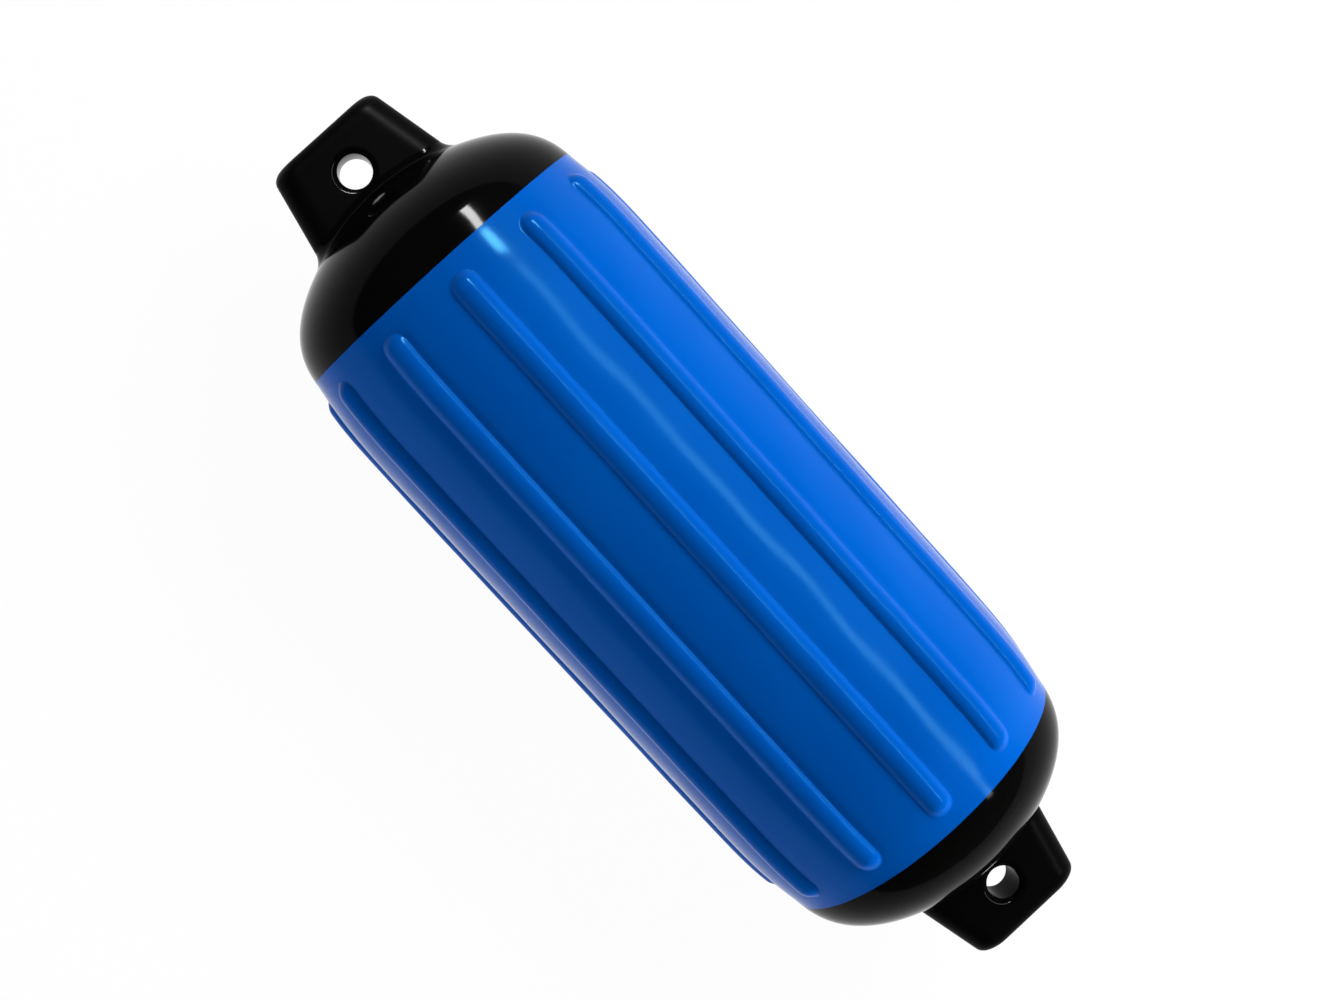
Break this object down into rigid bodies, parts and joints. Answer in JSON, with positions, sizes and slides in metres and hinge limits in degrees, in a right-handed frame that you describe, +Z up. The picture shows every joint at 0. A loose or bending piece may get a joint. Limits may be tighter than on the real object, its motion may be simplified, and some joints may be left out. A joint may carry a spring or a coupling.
{
  "type": "pneumatic fender",
  "caption": "Inflatable boat fender: a ribbed blue barrel with rounded black ends, a flat eye plate at each end, and a screw-closed air valve, lying on its side.",
  "frame": {"origin": "on the floor under the fender's middle, as it lies on two neighbouring ribs of its back", "axes": "+X along the fender, from the end with the valve to the other; +Z up and out of the eye plates' front faces, which are level"},
  "size_m": [0.6676, 0.2292, 0.2277],
  "materials": {
    "blue_vinyl": "glossy blue soft vinyl",
    "black_vinyl": "glossy black soft vinyl",
    "valve_nylon": "satin black nylon",
    "valve_rubber": "matt black rubber"
  },
  "bodies": {
    "root": {"barrel": "blue_vinyl", "top_end": "black_vinyl", "bottom_end": "black_vinyl", "valve_insert": "valve_nylon", "valve_screw": "valve_nylon", "valve_washer": "valve_rubber"}
  },
  "joints": []
}
